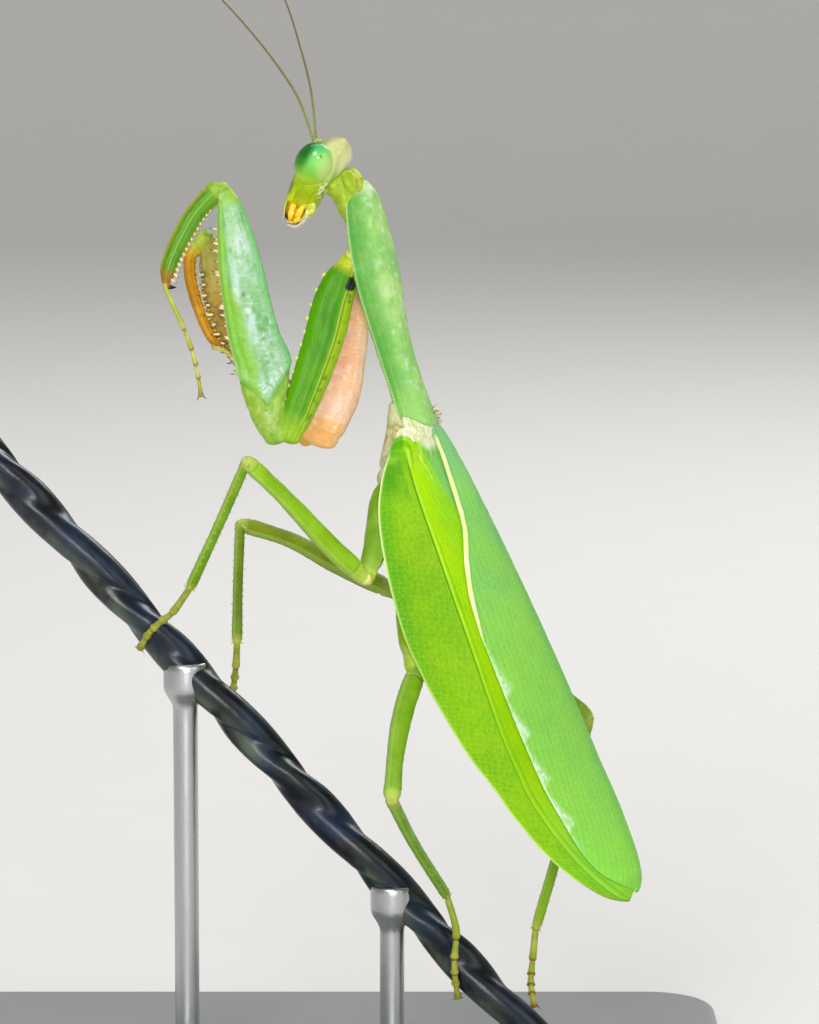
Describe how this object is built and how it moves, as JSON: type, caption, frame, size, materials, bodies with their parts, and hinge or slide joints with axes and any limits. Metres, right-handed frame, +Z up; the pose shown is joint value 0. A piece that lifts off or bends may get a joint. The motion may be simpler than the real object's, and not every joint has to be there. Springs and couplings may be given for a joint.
{
  "type": "praying mantis",
  "caption": "Life-size praying mantis model, green with folded wings, raised grasping forelegs and turned-down head, gripping a cut length of twisted wire on a flat display stand.",
  "frame": {"origin": "centre of the underside of the stand's flat base, on the surface that it rests on", "axes": "+Z up; +Y away from the animal's left side, at which the front of the display looks; +X toward the wing tips, so that the head and forelegs are on the -X side"},
  "size_m": [0.084, 0.064, 0.1211],
  "materials": {
    "abdomen_green": "satin, segmented, pale green",
    "feeler_olive": "matt, olive brown, ringed",
    "eye_green": "glossy, finely faceted, clear green",
    "fore_leg_green": "satin, waxy green, pale spines",
    "fore_leg_mint": "glossy mint green, dark-tipped spines",
    "foot_olive": "satin, yellow olive",
    "fore_leg_orange": "satin, salmon orange inner face",
    "head_green": "satin, waxy leaf green with a yellow face",
    "walking_leg_green": "satin green, yellower at the joints",
    "hind_wing_clear": "thin folded membrane, milky, with fine veins",
    "mouth_cream": "satin, cream yellow",
    "neck_yellow": "soft folded membrane, yellow green",
    "palp_orange": "satin, orange yellow",
    "wire_black": "glossy blue-black plastic sheath",
    "shield_green": "waxy, pale blue green, finely pitted",
    "thorax_cream": "soft satin, cream and pale green",
    "stand_base": "satin grey acrylic",
    "stand_rod": "brushed steel",
    "wing_green": "leathery satin, finely net-veined yellow green"
  },
  "bodies": {
    "root": {"abdomen": "abdomen_green", "antenna_left": "feeler_olive", "antenna_right": "feeler_olive", "cercus_left": "abdomen_green", "cercus_right": "abdomen_green", "eye_left": "eye_green", "eye_right": "eye_green", "foreleg_left_coxa": "fore_leg_green", "foreleg_left_femur": "fore_leg_mint", "foreleg_left_tarsus": "foot_olive", "foreleg_left_tibia": "fore_leg_green", "foreleg_right_coxa": "fore_leg_orange", "foreleg_right_femur": "fore_leg_mint", "foreleg_right_tarsus": "foot_olive", "foreleg_right_tibia": "fore_leg_orange", "head": "head_green", "hindleg_left_coxa": "walking_leg_green", "hindleg_left_femur": "walking_leg_green", "hindleg_left_tarsus": "foot_olive", "hindleg_left_tibia": "walking_leg_green", "hindleg_right_coxa": "walking_leg_green", "hindleg_right_femur": "walking_leg_green", "hindleg_right_tarsus": "foot_olive", "hindleg_right_tibia": "walking_leg_green", "hindwings": "hind_wing_clear", "midleg_left_coxa": "walking_leg_green", "midleg_left_femur": "walking_leg_green", "midleg_left_tarsus": "foot_olive", "midleg_left_tibia": "walking_leg_green", "midleg_right_coxa": "walking_leg_green", "midleg_right_femur": "walking_leg_green", "midleg_right_tarsus": "foot_olive", "midleg_right_tibia": "walking_leg_green", "mouthparts": "mouth_cream", "neck": "neck_yellow", "palp_left": "palp_orange", "palp_right": "palp_orange", "perch_wire": "wire_black", "pronotum": "shield_green", "prosternum": "shield_green", "pterothorax": "thorax_cream", "stand_base": "stand_base", "stand_rod_1": "stand_rod", "stand_rod_2": "stand_rod", "tegmen_left": "wing_green", "tegmen_right": "wing_green"}
  },
  "joints": []
}
